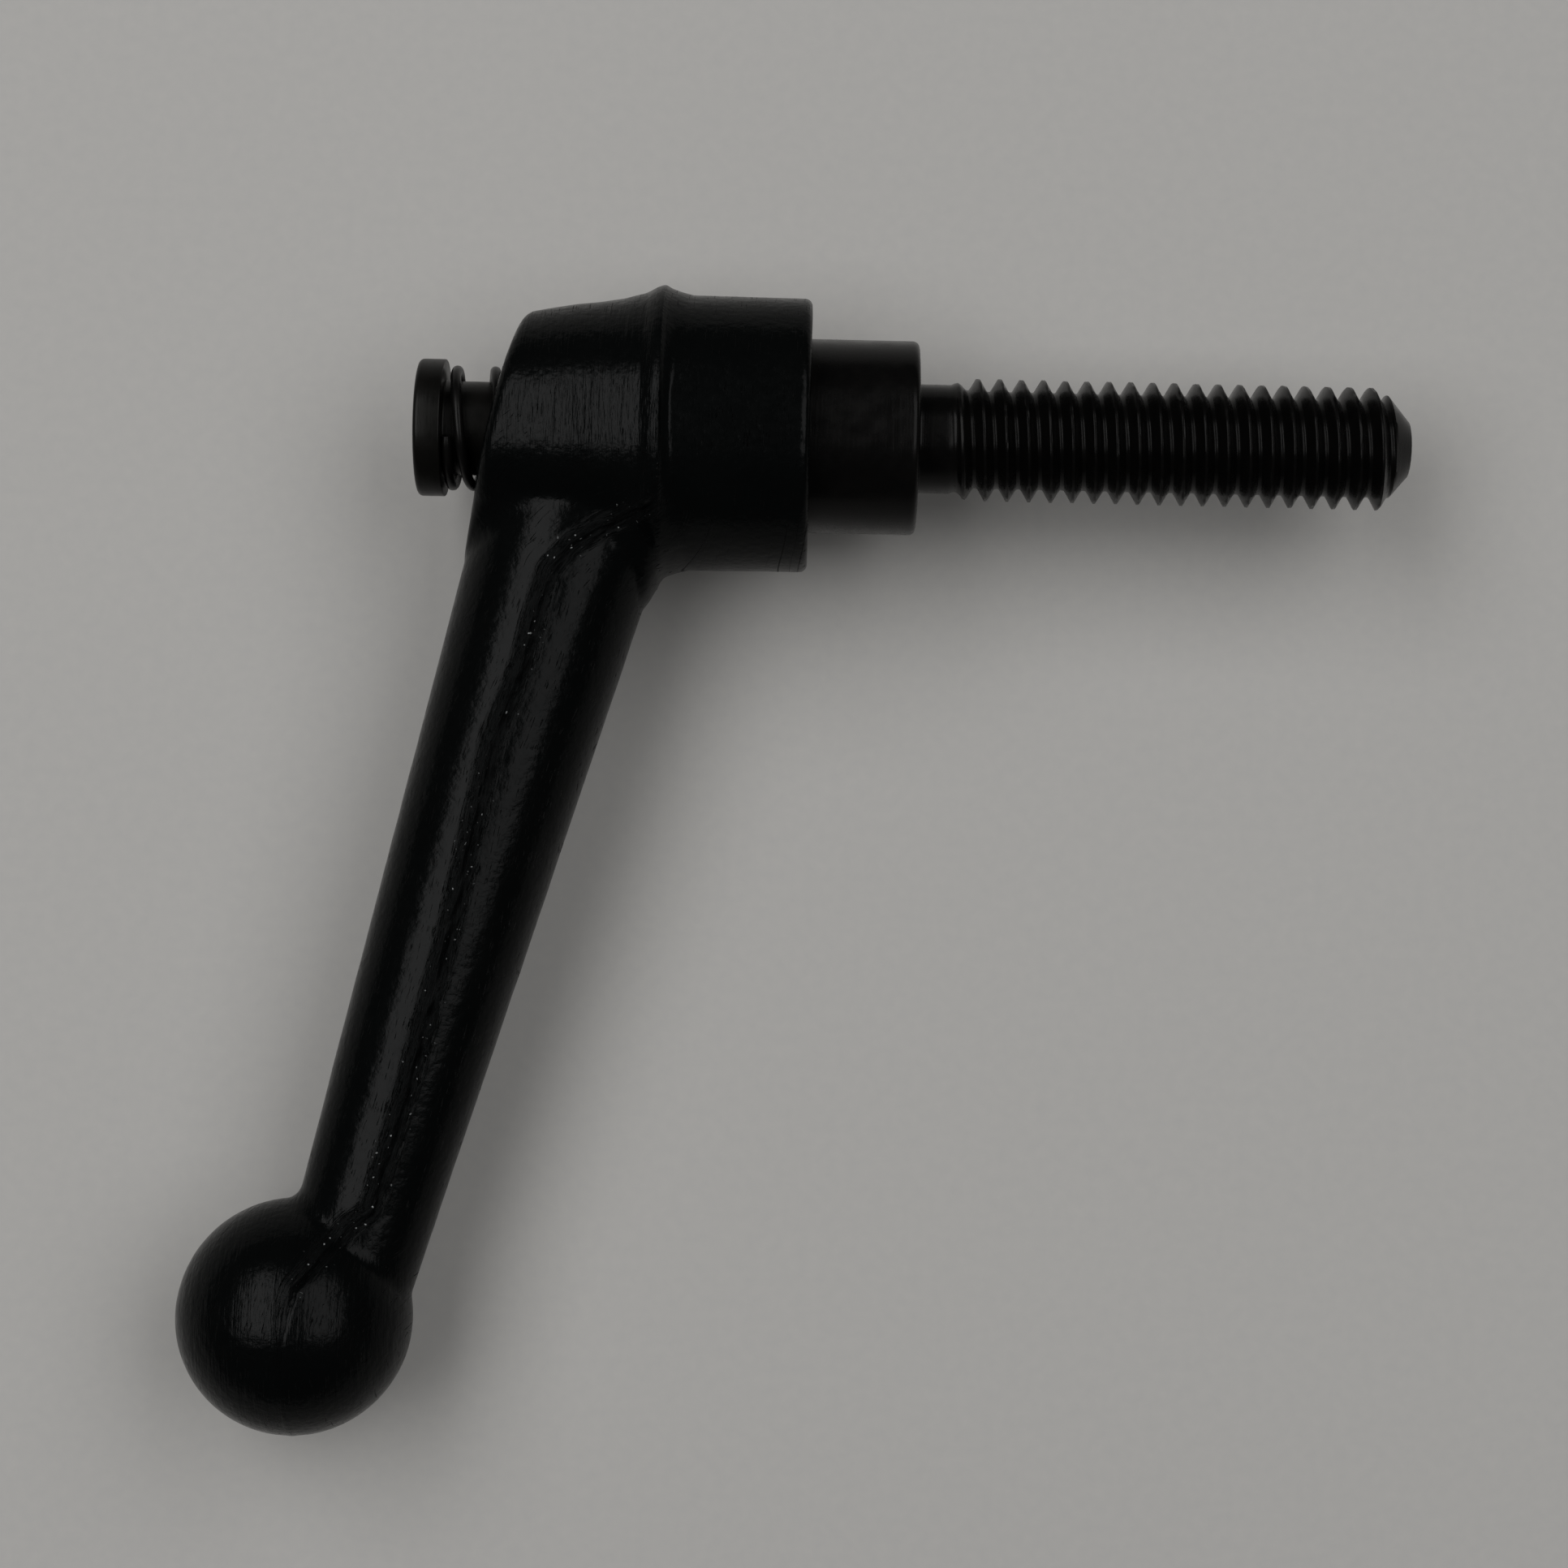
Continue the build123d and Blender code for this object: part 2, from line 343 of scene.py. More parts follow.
def detail(p):
    """How far the real skin stands out from the plain form."""
    across, along = from_parting(p)
    down = -p[:, 1]
    half = np.sign(p[:, 2]) * HALVES_APART
    run = np.stack([along, across * 2, half], 1)
    lengthwise = run * (1, 0, 1)
    worn = 0.5 + 0.5 * swell(run, 1.3)
    wander = 0.12 * swell(lengthwise, 3.1) + 0.05 * swell(lengthwise, 0.8)
    g = across - wander
    below_hub = fade(down, 4.5, 6.0)
    on_arm = below_hub * fade(down, 53.5, 50.5)
    on_line = below_hub * np.maximum(fade(down, 58.5, 54.5), LEFT_ON_BALL)
    at_root = fade(down, 4.8, 6.0) * fade(down, 15, 9)
    groove = -(GROOVE_DEPTH + GROOVE_WEAR * worn) * hump(g, GROOVE_WIDTH)
    lip = LIP_HEIGHT * np.clip(swell(run, 0.9) + 0.25, 0, 1) * hump(g - LIP_AT, LIP_WIDTH)
    step = -ROOT_STEP * at_root * fade(g, 0, 0.25) * fade(g, 2.6, 0.6)
    torn = fade(g, -0.55, -0.25) * fade(g, 0.6, 0.3)
    jagged = torn * (-TORN_DEPTH + TORN_UNEVEN * swell(run * (0.6, 2, 1), 0.5))
    pits = -PIT_DEPTH * np.clip(swell(run, 0.7) - 0.4, 0, 1) * hump(g, PIT_BAND)
    seam = SEAM_HEIGHT * fade(down, 60.5, 61.5) * hump(across, SEAM_WIDTH)
    skin = 0.014 * swell(p, 2.3) + 0.007 * swell(p, 0.9)
    return on_line * (groove + lip) + on_arm * (jagged + pits) + step + seam + skin


# %% [markdown]
# ## From field to mesh
# Surface nets turn the field into quads: each small cell that the skin passes through gets one
# vertex, and the cells round each crossed edge make a face. The grid's planes follow the
# parting line and stand closer there, so that the line is fine where it needs to be. Each
# vertex then slides along the outward direction until it lies on the skin.

# %% Surface nets
GRID = 0.235
WIDE = GRID * 1.15
FINE = 0.11
FINE_HALF = 0.8


def planes_across(low, high):
    """Places of the grid's planes: close together near zero, wider further out."""
    places = [0.0]
    while places[-1] < high:
        places.append(places[-1] + (FINE if places[-1] < FINE_HALF else WIDE))
    while places[0] > low:
        places.insert(0, places[0] - (FINE if places[0] > -FINE_HALF else WIDE))
    return np.array(places)


def nets(values):
    """Vertices in grid steps, and quads, of the zero level of values on a grid."""
    inside = values < 0
    shape = np.array(values.shape)
    total = np.zeros((*(shape - 1), 3))
    count = np.zeros(shape - 1)
    crossings = []
    # Where along each grid edge the skin crosses it, shared out to the four cells round the edge.
    for axis in range(3):
        low = [slice(None)] * 3
        high = [slice(None)] * 3
        low[axis], high[axis] = slice(0, -1), slice(1, None)
        a, b = values[tuple(low)], values[tuple(high)]
        crossed = inside[tuple(low)] != inside[tuple(high)]
        t = np.where(crossed, a / np.where(crossed, a - b, 1), 0)
        place = np.stack(np.indices(a.shape), -1).astype(float)
        place[..., axis] += t
        place *= crossed[..., None]
        others = [i for i in range(3) if i != axis]
        for step in range(4):
            pick = [slice(None)] * 3
            for other, shift in zip(others, (step & 1, step >> 1)):
                pick[other] = slice(shift, shift + shape[other] - 1)
            total += place[tuple(pick)]
            count += crossed[tuple(pick)]
        crossings.append((crossed, inside[tuple(low)]))
    # A cell with crossings gets one vertex, at their mean.
    used = count > 0
    number = np.full(used.shape, -1)
    number[used] = np.arange(used.sum())
    # The four cells round a crossed edge make one quad, turned so that it faces outward.
    quads = []
    for axis, (crossed, starts_inside) in enumerate(crossings):
        i, j, k = np.nonzero(crossed)
        at = np.stack([i, j, k], 1)
        one, two = (axis + 1) % 3, (axis + 2) % 3
        corners = []
        for d1, d2 in ((-1, -1), (0, -1), (0, 0), (-1, 0)):
            c = at.copy()
            c[:, one] += d1
            c[:, two] += d2
            corners.append(number[c[:, 0], c[:, 1], c[:, 2]])
        quad = np.stack(corners, 1)
        flip = ~starts_inside[i, j, k]
        quad[flip] = quad[flip][:, ::-1]
        quads.append(quad)
    return total[used] / count[used][:, None], np.concatenate(quads)


# %% Mesh of the casting
FROM_LINE = (-13.2, 17.0)
LENGTHWISE = (-65.45, 10.2)
THICKNESS = (-10.0, 10.01)
SLIDES = 6
LONGEST_SLIDE = 0.3


def casting_mesh():
    """Points and quads of the casting. The grid is u across the line, v along Y, w along Z."""
    u = planes_across(*FROM_LINE)
    v = np.arange(*LENGTHWISE, GRID)
    w = np.arange(*THICKNESS, GRID)
    course = smoothed(np.interp(-v, -PARTING[:, 1], PARTING[:, 0]), 16)
    values = np.empty((len(u), len(v), len(w)))
    for i, at in enumerate(u):
        x = np.broadcast_to((course + at)[:, None], (len(v), len(w)))
        y = np.broadcast_to(v[:, None], x.shape)
        z = np.broadcast_to(w[None, :], x.shape)
        values[i] = casting(np.stack([x.ravel(), y.ravel(), z.ravel()], 1))[0].reshape(x.shape)
    places, quads = nets(values)
    y = np.interp(places[:, 1], np.arange(len(v)), v)
    x = np.interp(places[:, 0], np.arange(len(u)), u) + np.interp(y, v, course)
    z = np.interp(places[:, 2], np.arange(len(w)), w)
    p = np.stack([x, y, z], 1)
    for slide in range(SLIDES):
        f, g = casting(p)
        p = p - np.clip(f - detail(p), -LONGEST_SLIDE, LONGEST_SLIDE)[:, None] * g
    return p, quads


ROLL = np.array(Matrix.Rotation(REST_ROLL, 3, "X"))
cast_points, cast_quads = casting_mesh()
print("casting", len(cast_points), "vertices", len(cast_quads), "quads")


# %% [markdown]
# ## Turned pieces
# Stud, screw and the hole inside the hub are all round about one axis. A lathe suits them: rings
# of vertices from an outline of X and radius. A ring may also have its own radius at each angle,
# which gives the teeth, the hexagon of the socket and, with rings that climb, the thread.

# %% The lathe
SEGMENTS = 144
TURN = np.arange(SEGMENTS) * 2 * math.pi / SEGMENTS


def ring(x, radius, angles=TURN):
    """Vertices of one ring. X, radius and angle may each be one number or one for each vertex."""
    x = np.broadcast_to(x, SEGMENTS)
    return np.stack([x, radius * np.cos(angles), radius * np.sin(angles)], 1)


def lathe(rings):
    """Points and faces of a closed turned body. Its first and last rings are closed by a face."""
    points = np.concatenate(rings)
    faces = []
    step = np.arange(SEGMENTS)
    after = (step + 1) % SEGMENTS
    for i in range(len(rings) - 1):
        a, b = i * SEGMENTS, (i + 1) * SEGMENTS
        faces += np.stack([a + step, b + step, b + after, a + after], 1).tolist()
    faces.append(step.tolist())
    faces.append(((len(rings) - 1) * SEGMENTS + step[::-1]).tolist())
    return points, faces


def rounded(corner_x, corner_r, from_x, from_r, to_x, to_r, radius, steps=5):
    """Outline points of a round edge at a corner between two straight runs."""
    c = np.array([corner_x, corner_r])
    one = np.array([from_x, from_r]) - c
    two = np.array([to_x, to_r]) - c
    one, two = one / np.hypot(*one), two / np.hypot(*two)
    half = math.acos(np.clip(one @ two, -1, 1)) / 2
    back = radius / math.tan(half)
    out = []
    for i in range(steps + 1):
        t = i / steps
        a, b = c + one * back * (1 - t), c + two * back * t
        out.append(tuple(a * (1 - t) + b * t))
    return out


MERGE_M = 1e-7


def make_piece(name, points, faces, sharp=35):
    """A smooth-shaded object from millimetre points. Doubled vertices are merged."""
    mesh = bpy.data.meshes.new(name)
    mesh.from_pydata((np.asarray(points) * MM).tolist(), [], [list(f) for f in faces])
    bm = bmesh.new()
    bm.from_mesh(mesh)
    bmesh.ops.remove_doubles(bm, verts=bm.verts, dist=MERGE_M)
    bmesh.ops.dissolve_degenerate(bm, edges=bm.edges, dist=MERGE_M)
    bmesh.ops.delete(bm, geom=[v for v in bm.verts if not v.link_faces], context="VERTS")
    bmesh.ops.recalc_face_normals(bm, faces=bm.faces)
    bm.to_mesh(mesh)
    bm.free()
    mesh.shade_smooth()
    mesh.set_sharp_from_angle(angle=math.radians(sharp))
    piece = bpy.data.objects.new(name, mesh)
    bpy.context.scene.collection.objects.link(piece)
    return piece


# %% [markdown]
# ## Teeth
# The collar has 24 teeth at its inner end and the hub has 24 between them. Six vertices make
# each step: middle of the top, shoulder, foot, middle of the gap, next foot, next shoulder.

# %% Rings with teeth
TOOTH_COUNT = 24
TOOTH_STEP = 360 / TOOTH_COUNT


def toothed_ring(x, top_r, foot_r, top_half, foot_half, first):
    """A ring of teeth. The halves are half widths at top and foot in degrees."""
    angles, radius = [], []
    for i in range(TOOTH_COUNT):
        centre = first + i * TOOTH_STEP
        angles += [centre, centre + top_half, centre + foot_half]
        radius += [top_r, top_r, foot_r]
        angles += [centre + TOOTH_STEP / 2, centre + TOOTH_STEP - foot_half]
        angles += [centre + TOOTH_STEP - top_half]
        radius += [foot_r, foot_r, top_r]
    return ring(x, np.array(radius), np.radians(angles))


# %% [markdown]
# ## The hole through the hub
# The hub is bored for the collar, has a thin wall for the spring to push on, and a pocket behind
# it. These were machined, so they are crisp: one turned cutter takes them out of the casting.

# %% The cutter
END_PLAY = 0.05
WEB_THICK = 2.95
WEB_FRONT = COLLAR_END - END_PLAY
WEB_BACK = WEB_FRONT - WEB_THICK
POCKET_R = 4.65
SHANK_HOLE_R = 3.2
TEETH_START = -15.1
CUTTER_FRONT = -2.0
CUTTER_BACK = HEAD_BACK - 2
teeth = dict(top_r=5.75, foot_r=BORE_R, top_half=1.96, foot_half=5.93, first=TOOTH_STEP / 2)
gap_turn = TURN + math.radians(TOOTH_STEP / 2)
cutter_points, cutter_faces = lathe([
    ring(CUTTER_FRONT, BORE_R, gap_turn),
    ring(TEETH_START, BORE_R, gap_turn),
    toothed_ring(TEETH_START, **teeth),
    toothed_ring(WEB_FRONT, **teeth),
    ring(WEB_FRONT, SHANK_HOLE_R, gap_turn),
    ring(WEB_BACK, SHANK_HOLE_R, gap_turn),
    ring(WEB_BACK, POCKET_R, gap_turn),
    ring(CUTTER_BACK, POCKET_R, gap_turn),
])
cutter = make_piece("cutter", cutter_points, cutter_faces)
print("cutter", len(cutter_faces), "faces")

# %% The finished lever
lever = make_piece("lever_casting", cast_points @ ROLL.T, cast_quads)
bore = lever.modifiers.new("bore", "BOOLEAN")
bore.operation = "DIFFERENCE"
bore.solver = "EXACT"
bore.object = cutter
bpy.context.view_layer.update()
bored = bpy.data.meshes.new_from_object(
    lever.evaluated_get(bpy.context.evaluated_depsgraph_get())
)
lever.modifiers.clear()
lever.data = bored
bpy.data.objects.remove(cutter)
print("lever", len(bored.vertices), "vertices", len(bored.polygons), "faces")

# %% [markdown]
# The finish needs to know where the parting line is, and where the die was turned on a lathe
# (hub and ball) rather than milled (arm). Each vertex keeps those as numbers.

# %% Marks for the finish
BALL_TURNING = 0.7
FRONT_TURNING = 0.12
spots = np.empty(len(bored.vertices) * 3)
bored.vertices.foreach_get("co", spots)
spots = spots.reshape(-1, 3) / MM @ ROLL
across, along = from_parting(spots)
from_ball = np.linalg.norm(spots - (-BALL_AT, -BALL_REACH, 0), axis=1)
on_ball = BALL_TURNING * fade(from_ball, 9.5, 8.0)
on_hub = fade(spots[:, 1], -6.5, -4.0) * np.where(spots[:, 0] < -RIDGE_AT, 1, FRONT_TURNING)
marks = np.stack([across, along, np.maximum(on_ball, on_hub)], 1)
layer = bored.attributes.new("parting", "FLOAT_VECTOR", "POINT")
layer.data.foreach_set("vector", marks.astype(np.float32).ravel())
trimmed = fade(-spots[:, 1], 5.0, 6.2) * fade(-spots[:, 1], 56.5, 52.5)
layer = bored.attributes.new("trimmed", "FLOAT", "POINT")
layer.data.foreach_set("value", trimmed.astype(np.float32))
print("marks on", len(marks), "vertices,", int(np.sum(trimmed > 0)), "of them beside trimmed metal")
bored.shade_smooth()
bored.set_sharp_from_angle(angle=math.radians(40))
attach(lever, "lever")
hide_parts("lever")

# %% [markdown]
# ## The thread
# The stud carries a rolled 5/16-18 thread. Rolling squeezes the blank's metal up into rounded
# crests, so the thread grows out of a thinner neck and fades in over a turn. The rings here
# climb with the thread: each starts one pitch further on after a turn, so that crests and
# roots run along rows of vertices and stay sharp.

# %% The rolled thread
PITCH = 25.4 / 18
MAJOR_R = 7.9375 / 2
ROOT_R = 3.12
NECK_R = 3.51
RUN_IN = (1.75, 3.7)
NECK_END = RUN_IN[0] - 0.4
CREST_AT = 3.78
CREST_HALF = 0.07
CREST_LOW = 0.015
CREST_ROUND = 2.2
CREST_SEAM = 0.035
NICK_DEPTH, NICK_SIZE = 0.05, 0.45
ROOT_ROUND = 0.006
TIP_BACK = 0.02
THREAD_END = STUD_TIP - TIP_BACK
TIP_R = 1.8
TIP_SLOPE = math.tan(math.radians(49.5))
ROW_PLACES = np.array([
    -0.5, -0.455, -0.41, -0.34, -0.25, -0.16, -0.10, -0.055, -0.018,
    0.018, 0.055, 0.10, 0.16, 0.25, 0.34, 0.41, 0.455,
])
FLANK_SLOPE = math.sqrt(3)


def thread_radius(x):
    """Radius of the rolled thread at vertices of X, one for each angle."""
    phase = (x - CREST_AT) / PITCH - TURN / (2 * math.pi)
    off = np.abs(phase - np.round(phase)) * PITCH
    spots = np.stack([x, 3 * np.cos(TURN), 3 * np.sin(TURN)], 1)
    nicks = NICK_DEPTH * np.clip(swell(spots, NICK_SIZE), -1, 0.3)
    flank = MAJOR_R - np.maximum(off - CREST_HALF, 0) * FLANK_SLOPE
    seam = CREST_SEAM * hump(off, 0.035)
    crest = MAJOR_R - CREST_LOW - CREST_ROUND * off ** 2 - seam + nicks
    above_root = np.minimum(flank, crest) - ROOT_R
    r = ROOT_R + 0.5 * (above_root + np.sqrt(above_root ** 2 + ROOT_ROUND))
    t = np.clip((x - RUN_IN[0]) / (RUN_IN[1] - RUN_IN[0]), 0, 1)
    r = NECK_R + (r - NECK_R) * t * t * (3 - 2 * t)
    cone = TIP_R + (STUD_TIP - x) * TIP_SLOPE
    return np.minimum(r, cone)


def thread_rows():
    """X of each climbing row's vertices, held between neck and tip."""
    rows = []
    first = math.floor((RUN_IN[0] - CREST_AT) / PITCH) - 1
    last = math.ceil((STUD_TIP - CREST_AT) / PITCH) + 3
    for turn in range(first, last):
        for place in ROW_PLACES:
            x = CREST_AT + (turn + place) * PITCH + PITCH * TURN / (2 * math.pi)
            rows.append(np.clip(x, NECK_END, THREAD_END))
    return rows


def thread_faces(rows, start):
    """Quads between climbing rows. The last vertex of a row meets the row one pitch on."""
    shift = len(ROW_PLACES)
    faces = []
    for i in range(len(rows) - shift - 1):
        for j in range(SEGMENTS):
            if j < SEGMENTS - 1:
                a, b = (i, j + 1), (i + 1, j + 1)
            else:
                a, b = (i + shift, 0), (i + shift + 1, 0)
            quad = [(i, j), (i + 1, j), b, a]
            faces.append([start + r * SEGMENTS + c for r, c in quad])
    return faces


rows = thread_rows()
row_points = [ring(x, thread_radius(x)) for x in rows]
print("thread", len(rows), "rows, pitch", round(PITCH, 3), "mm")

# %% [markdown]
# ## Collar and stud
# The collar slides in the hub and carries the teeth at its inner end. It is tapped from behind
# for the retaining screw. Its front edge is rounded, and a small fillet leads to the stud's neck.
# One lathe run makes it, from the bottom of the tapped hole out and forward to the neck. The
# thread's rows follow, and a small cap closes the tip.

# %% Toothed stud
TEETH_END = COLLAR_END + 2.6
TEETH_LEAD = 0.3
TAPPED_R = 2.415
TAPPED_END = COLLAR_END + 9
DRILL_CONE = 1.2
TAPPED_LEAD = 0.35
AXIS_R = 0.02
END_FACE_R = 5.3
COLLAR_EDGE = 0.5
FRONT_FACE_R = NECK_R + 0.25
NECK_FILLET = 0.2
NECK_MIDDLE = 0.6
CAP_EDGE = 0.06
CAP_MIDDLE = 0.5
collar_teeth = dict(top_r=COLLAR_R, foot_r=5.65, top_half=1.62, foot_half=5.30, first=0)
end_teeth = dict(collar_teeth, top_r=5.6, foot_r=5.4)
body = [ring(TAPPED_END + DRILL_CONE, AXIS_R), ring(TAPPED_END, TAPPED_R)]
body += [ring(COLLAR_END + TAPPED_LEAD, TAPPED_R), ring(COLLAR_END, TAPPED_R + TAPPED_LEAD)]
body += [ring(COLLAR_END, END_FACE_R), toothed_ring(COLLAR_END, **end_teeth)]
body += [toothed_ring(COLLAR_END + TEETH_LEAD, **collar_teeth)]
body += [toothed_ring(TEETH_END, **collar_teeth), ring(TEETH_END, COLLAR_R)]
for x, r in rounded(0, COLLAR_R, -5, COLLAR_R, 0, 1, COLLAR_EDGE, 7):
    body.append(ring(x, r))
body += [ring(0, FRONT_FACE_R)]
for x, r in rounded(0, NECK_R, 0, NECK_R + 2, 3, NECK_R, NECK_FILLET, 4):
    body.append(ring(x, r))
body += [ring(NECK_MIDDLE, NECK_R), ring(NECK_END, NECK_R)]
base_points, base_faces = lathe(body)
base_faces = base_faces[:-1]
start = len(base_points)
cap = [ring(THREAD_END, TIP_R + TIP_BACK * TIP_SLOPE), ring(STUD_TIP, TIP_R - CAP_EDGE)]
cap += [ring(STUD_TIP, TIP_R - CAP_MIDDLE)]
cap_start = start + len(rows) * SEGMENTS
cap_points, cap_faces = lathe(cap)
cap_faces = cap_faces[:-2] + cap_faces[-1:]
faces = base_faces + thread_faces(rows, start)
faces += [[cap_start + i for i in f] for f in cap_faces]
stud = make_piece(
    "toothed_stud_turned", np.concatenate([base_points, *row_points, cap_points]), faces, 38
)
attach(stud, "root")
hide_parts("toothed_stud")
edge_uses = np.zeros(len(stud.data.edges), int)
np.add.at(edge_uses, [loop.edge_index for loop in stud.data.loops], 1)
open_edges = int(np.sum(edge_uses != 2))
print("stud", len(stud.data.polygons), "faces,", open_edges, "open edges")

# %% [markdown]
# ## The retaining screw
# A plain turned screw with a low round head. Its rim and its corners are slightly rounded, and a
# hexagon socket in its rear takes the key. Its thread is out of sight in the collar, so that end
# is a plain cylinder of the thread's mean radius.

# %% Retaining screw
HEAD_R = 4.425
HEAD_FRONT = HEAD_BACK + 1.73
HEAD_EDGE = 0.36
SMALL_EDGE = 0.12
SHANK_R = 3.025
THREAD_R = 2.365
THREAD_LEAD = 0.6
SOCKET_FLATS = 4.0
SOCKET_LEAD = 0.12
SOCKET_DEPTH = 2.6
SOCKET_FLOOR_R = 1.75
SOCKET_CONE = 1.0


def hexagon(x, flats):
    """A ring of six sides, with this width across its flats."""
    sixth = math.pi / 3
    off = (TURN + sixth / 2) % sixth - sixth / 2
    return ring(x, flats / 2 / np.cos(off))


outline = rounded(HEAD_BACK, HEAD_R, HEAD_BACK, 2, HEAD_BACK + 1, HEAD_R, HEAD_EDGE, 6)
outline += rounded(HEAD_FRONT, HEAD_R, HEAD_BACK, HEAD_R, HEAD_FRONT, 3, 0.1, 3)
outline += rounded(HEAD_FRONT, SHANK_R, HEAD_FRONT, HEAD_R, COLLAR_END, SHANK_R, SMALL_EDGE, 3)
outline += rounded(COLLAR_END, SHANK_R, HEAD_FRONT, SHANK_R, COLLAR_END, 1, SMALL_EDGE, 3)
outline += [(COLLAR_END, THREAD_R), (SCREW_END - THREAD_LEAD, THREAD_R)]
outline += [(SCREW_END, THREAD_R - THREAD_LEAD)]
socket_end = HEAD_BACK + SOCKET_DEPTH
rings = [ring(socket_end + SOCKET_CONE, AXIS_R), ring(socket_end, SOCKET_FLOOR_R)]
rings += [hexagon(socket_end, SOCKET_FLATS), hexagon(HEAD_BACK + SOCKET_LEAD, SOCKET_FLATS)]
rings += [hexagon(HEAD_BACK, SOCKET_FLATS + 2 * SOCKET_LEAD)]
rings += [ring(x, r) for x, r in outline]
screw = make_piece("retaining_screw_turned", *lathe(rings))
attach(screw, "root")
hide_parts("retaining_screw")
print("screw", len(screw.data.polygons), "faces")

# %% [markdown]
# ## The return spring
# Round wire, wound right-handed, with a nearly flat turn at each end. A circle is carried along
# the coil's centre line.

# %% Return spring
WIRE_R = 0.34
COIL_R = 3.70
ACTIVE_TURNS = 3.28
CLOSED_TURNS = 0.8
CLOSED_RISE = 0.36
START_ANGLE = math.radians(110)
WIRE_SIDES = 20
STEPS_PER_TURN = 60
CUT_END = 0.8


def coil_point(turn):
    """Centre of the wire after this many turns from its rear end."""
    start, end = COIL_START + WIRE_R, COIL_END - WIRE_R
    pitch = (end - start - 2 * CLOSED_RISE) / ACTIVE_TURNS
    opened = np.clip(turn - CLOSED_TURNS, 0, ACTIVE_TURNS)
    x = start + opened * pitch + (turn - opened) * CLOSED_RISE / CLOSED_TURNS
    angle = START_ANGLE + 2 * math.pi * turn
    return np.stack([x, COIL_R * np.cos(angle), COIL_R * np.sin(angle)], -1)


def wire_along(line):
    """Points and faces of a round wire. Its cut ends are a little thinner."""
    ahead = np.gradient(line, axis=0)
    ahead /= np.linalg.norm(ahead, axis=1)[:, None]
    outward = line * (0, 1, 1) / COIL_R
    sideways = np.cross(ahead, outward)
    sideways /= np.linalg.norm(sideways, axis=1)[:, None]
    around = np.arange(WIRE_SIDES) * 2 * math.pi / WIRE_SIDES
    radii = WIRE_R * np.r_[CUT_END, np.ones(len(line) - 2), CUT_END]
    tube = [
        c + r * (np.cos(around)[:, None] * o + np.sin(around)[:, None] * a)
        for c, o, a, r in zip(line, outward, sideways, radii)
    ]
    faces = []
    for i in range(len(tube) - 1):
        for j in range(WIRE_SIDES):
            k = (j + 1) % WIRE_SIDES
            a, b = i * WIRE_SIDES, (i + 1) * WIRE_SIDES
            faces.append([a + j, b + j, b + k, a + k])
    faces.append(list(range(WIRE_SIDES)))
    faces.append([(len(tube) - 1) * WIRE_SIDES + j for j in reversed(range(WIRE_SIDES))])
    return np.concatenate(tube), faces


all_turns = ACTIVE_TURNS + 2 * CLOSED_TURNS
turns = np.linspace(0, all_turns, round(all_turns * STEPS_PER_TURN))
spring = make_piece("return_spring_wire", *wire_along(coil_point(turns)), 60)
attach(spring, "spring")
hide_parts("return_spring")
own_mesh(spring)

# %% [markdown]
# ## Finishes
# Near-black finishes lie side by side here and must not look alike. Powder coat on the casting
# is a glossy paint with a soft ripple. Black oxide on the stud and screw is a thin dark skin on
# bare steel, so it shows the tool's rings. The spring's wire is oiled and smoother.
# One helper adds a node with its settings and links, and one turns an sRGB colour to linear.


# %% Helpers for finishes
def linear(code):
    """An sRGB hex colour as linear red, green, blue, alpha."""
    parts = [int(code[i:i + 2], 16) / 255 for i in (1, 3, 5)]
    return (*[c / 12.92 if c <= 0.04045 else ((c + 0.055) / 1.055) ** 2.4 for c in parts], 1)


def add(tree, kind, links=None, **settings):
    """Adds a node. A link's value is another node's output, or a plain value for the socket."""
    node = tree.nodes.new(kind)
    for name, value in settings.items():
        setattr(node, name, value)
    for socket, value in (links or {}).items():
        if isinstance(value, bpy.types.NodeSocket):
            tree.links.new(value, node.inputs[socket])
        else:
            node.inputs[socket].default_value = value
    return node


def new_finish(name):
    """An empty material: its tree, and object coordinates in millimetres."""
    finish = bpy.data.materials.new(name)
    finish.use_nodes = True
    tree = finish.node_tree
    tree.nodes.clear()
    place = add(tree, "ShaderNodeTexCoord").outputs["Object"]
    place = add(tree, "ShaderNodeMapping", {"Vector": place, "Scale": (1 / MM,) * 3})
    return finish, tree, place.outputs["Vector"]


# %% [markdown]
# ### Black powder coat
# Powder is sprayed on dry and baked: it flows out to a smooth skin with a fine orange peel,
# about 0.5 mm from crest to crest. Under it the marks of the turned die show as streaks round
# the hub and ball, about 0.3 mm apart and ten times as long. They are noise stretched square to
# the axis. The marks kept on each vertex say where those streaks are strong.

# %% Powder coat: peel and turned streaks
PEEL_PER_MM = 2.1
STREAKS_PER_MM = (3.4, 0.30, 0.30)
coat, tree, place = new_finish("black powder coat on cast zinc")
mark = add(tree, "ShaderNodeAttribute", attribute_name="parting")
split = add(tree, "ShaderNodeSeparateXYZ", {"Vector": mark.outputs["Vector"]})
peel = add(tree, "ShaderNodeTexNoise", {"Vector": place, "Scale": PEEL_PER_MM, "Detail": 4.0})
stretched = add(tree, "ShaderNodeMapping", {"Vector": place, "Scale": STREAKS_PER_MM})
streaks = add(tree, "ShaderNodeTexNoise", {
    "Vector": stretched.outputs["Vector"], "Scale": 1.0, "Detail": 3.0, "Roughness": 0.6})
turned = add(tree, "ShaderNodeMath", {
    0: streaks.outputs["Fac"], 1: split.outputs["Z"]}, operation="MULTIPLY")
print("powder coat, peel and streaks:", len(tree.nodes), "nodes")

# %% [markdown]
# Beside the parting line the flash was filed off. The file ran lengthwise and left scratches
# about 0.1 mm apart, inside a band that fades out 1.15 mm from its middle. The middle lies a
# quarter of a millimetre behind the line.

